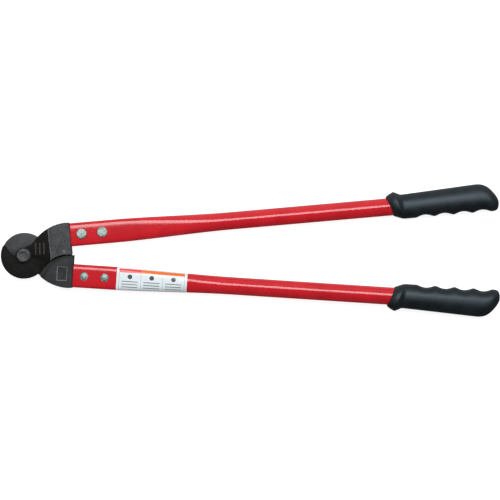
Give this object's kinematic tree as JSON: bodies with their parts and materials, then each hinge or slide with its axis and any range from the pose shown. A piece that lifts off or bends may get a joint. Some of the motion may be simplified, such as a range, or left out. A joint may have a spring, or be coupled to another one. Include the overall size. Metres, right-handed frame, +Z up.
{
  "type": "cable cutter",
  "caption": "Long-handled shear cutter for cable and wire rope, with round crossing jaws on a pivot bolt and tube handles with moulded finger grips.",
  "frame": {"origin": "on the pivot axis, in the plane the tool lies on, which is the end face of the pivot bolt", "axes": "+X from the pivot to the grips along the middle line of the closed tool, +Y towards the upper handle, +Z up from the surface, out of the bolt head"},
  "size_m": [0.7229, 0.1934, 0.0402],
  "materials": {
    "forged_steel": "matte, grey phosphate",
    "handle_enamel": "glossy red enamel",
    "grip_rubber": "satin black rubber",
    "zinc_rivet": "zinc plated",
    "black_oxide": "black oxide",
    "label_film": "printed film",
    "nylon": "natural nylon"
  },
  "bodies": {
    "lower_arm": {"rear_lever": "forged_steel", "lower_handle_tube": "handle_enamel", "lower_rivet_1": "zinc_rivet", "lower_rivet_2": "zinc_rivet", "lower_grip": "grip_rubber", "handle_label": "label_film", "pivot_bolt": "black_oxide", "front_washer": "black_oxide", "rear_washer": "black_oxide", "lock_nut": "black_oxide", "lock_nut_ring": "nylon"},
    "upper_arm": {"front_lever": "forged_steel", "upper_handle_tube": "handle_enamel", "upper_rivet_1": "zinc_rivet", "upper_rivet_2": "zinc_rivet", "upper_grip": "grip_rubber"}
  },
  "joints": [
    {"name": "pivot", "type": "hinge", "parent": "lower_arm", "child": "upper_arm", "pos_m": [0, 0, 0.02], "axis": [0, 0, 1], "range_deg": [0, 90]}
  ]
}
